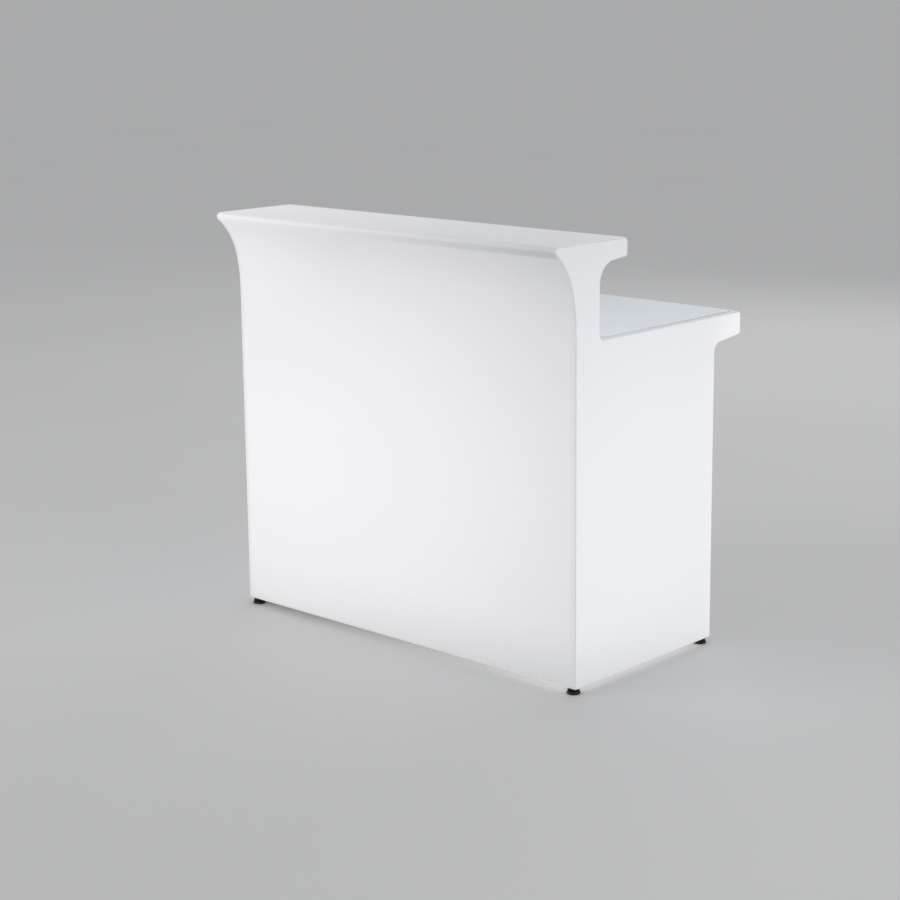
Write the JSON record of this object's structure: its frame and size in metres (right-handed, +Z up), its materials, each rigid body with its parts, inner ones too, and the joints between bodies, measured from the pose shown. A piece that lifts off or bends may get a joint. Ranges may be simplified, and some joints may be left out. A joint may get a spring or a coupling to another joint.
{
  "type": "illuminated bar counter",
  "caption": "Free-standing lit bar counter: hollow moulded shell with a flared raised shelf, a glass-topped worktop, a rear storage recess and screw feet.",
  "frame": {"origin": "on the floor, under the middle of the counter's bounding box", "axes": "+X along the counter, to the customer's right; -Y towards the customer, +Y towards the bartender; +Z up"},
  "size_m": [1.172, 0.749, 1.1],
  "materials": {
    "lit_polyethylene": "satin, translucent, lit from inside",
    "satin_glass": "satin, tempered",
    "clear_silicone": "clear",
    "white_laminate": "smooth, dark core at the edge",
    "white_polyethylene": "satin",
    "grey_foam": "foam",
    "stainless_steel": "bright",
    "brass": "turned",
    "white_enamel": "gloss",
    "opal_diffuser": "opal, lit",
    "aluminium": "satin",
    "white_plastic": "moulded",
    "grey_cable": "smooth",
    "black_plastic": "moulded",
    "black_gloss_plastic": "gloss",
    "fuse_glass": "clear, metal caps",
    "black_nylon": "moulded",
    "black_rubber": "matte",
    "black_steel": "black zinc"
  },
  "bodies": {
    "counter": {"body_shell": "lit_polyethylene", "glass_pads": "clear_silicone", "shelf_pads": "clear_silicone", "hatch_panel": "white_polyethylene", "hatch_gasket": "grey_foam", "hatch_screws": "stainless_steel", "hatch_inserts": "brass", "tray_spacers": "brass", "gear_tray": "white_enamel", "tray_screws": "stainless_steel", "lamp_tubes": "opal_diffuser", "lamp_caps": "aluminium", "lamp_holders": "white_plastic", "terminal_block": "white_plastic", "terminal_screws": "brass", "lamp_wires": "grey_cable", "supply_wires": "grey_cable", "inlet_body": "black_plastic", "inlet_pins": "brass", "inlet_screws": "stainless_steel", "inlet_nuts": "stainless_steel", "foot_lock_rings": "black_steel", "foot_inserts": "brass"},
    "glass": {"worktop_glass": "satin_glass"},
    "shelf": {"storage_shelf": "white_laminate"},
    "rocker": {"rocker_switch": "black_gloss_plastic"},
    "fuse_carrier": {"fuse_drawer": "black_plastic", "fuse_link": "fuse_glass"},
    "foot_front_left": {"foot_pad_front_left": "black_nylon", "foot_sole_front_left": "black_rubber"},
    "stem_front_left": {"foot_stem_front_left": "black_steel"},
    "foot_front_right": {"foot_pad_front_right": "black_nylon", "foot_sole_front_right": "black_rubber"},
    "stem_front_right": {"foot_stem_front_right": "black_steel"},
    "foot_rear_left": {"foot_pad_rear_left": "black_nylon", "foot_sole_rear_left": "black_rubber"},
    "stem_rear_left": {"foot_stem_rear_left": "black_steel"},
    "foot_rear_right": {"foot_pad_rear_right": "black_nylon", "foot_sole_rear_right": "black_rubber"},
    "stem_rear_right": {"foot_stem_rear_right": "black_steel"}
  },
  "joints": [
    {"name": "glass_lift", "type": "slide", "parent": "counter", "child": "glass", "axis": [0, 0, 1], "range_m": [0, 0.06]},
    {"name": "shelf_slide", "type": "slide", "parent": "counter", "child": "shelf", "axis": [0, 1, 0], "range_m": [0, 0.28]},
    {"name": "rocker_tilt", "type": "hinge", "parent": "counter", "child": "rocker", "pos_m": [-0.4562, 0.2615, 0.0635], "axis": [1, 0, 0], "range_deg": [0, 20]},
    {"name": "fuse_pull", "type": "slide", "parent": "counter", "child": "fuse_carrier", "axis": [0, 1, 0], "range_m": [0, 0.015]},
    {"name": "foot_lower_front_left", "type": "slide", "parent": "counter", "child": "foot_front_left", "axis": [0, 0, -1], "range_m": [0, 0.012]},
    {"name": "foot_turn_front_left", "type": "hinge", "parent": "foot_front_left", "child": "stem_front_left", "pos_m": [-0.565, -0.2739, 0.03], "axis": [0, 0, -1], "range_deg": [0, 2881]},
    {"name": "foot_lower_front_right", "type": "slide", "parent": "counter", "child": "foot_front_right", "axis": [0, 0, -1], "range_m": [0, 0.012]},
    {"name": "foot_turn_front_right", "type": "hinge", "parent": "foot_front_right", "child": "stem_front_right", "pos_m": [0.565, -0.2739, 0.03], "axis": [0, 0, -1], "range_deg": [0, 2881]},
    {"name": "foot_lower_rear_left", "type": "slide", "parent": "counter", "child": "foot_rear_left", "axis": [0, 0, -1], "range_m": [0, 0.012]},
    {"name": "foot_turn_rear_left", "type": "hinge", "parent": "foot_rear_left", "child": "stem_rear_left", "pos_m": [-0.565, 0.2495, 0.03], "axis": [0, 0, -1], "range_deg": [0, 2881]},
    {"name": "foot_lower_rear_right", "type": "slide", "parent": "counter", "child": "foot_rear_right", "axis": [0, 0, -1], "range_m": [0, 0.012]},
    {"name": "foot_turn_rear_right", "type": "hinge", "parent": "foot_rear_right", "child": "stem_rear_right", "pos_m": [0.565, 0.2495, 0.03], "axis": [0, 0, -1], "range_deg": [0, 2881]}
  ],
  "couplings": [
    {"joint": "foot_turn_front_left", "follows": "foot_lower_front_left", "rad_per_m": 4188.8},
    {"joint": "foot_turn_front_right", "follows": "foot_lower_front_right", "rad_per_m": 4188.8},
    {"joint": "foot_turn_rear_left", "follows": "foot_lower_rear_left", "rad_per_m": 4188.8},
    {"joint": "foot_turn_rear_right", "follows": "foot_lower_rear_right", "rad_per_m": 4188.8}
  ]
}
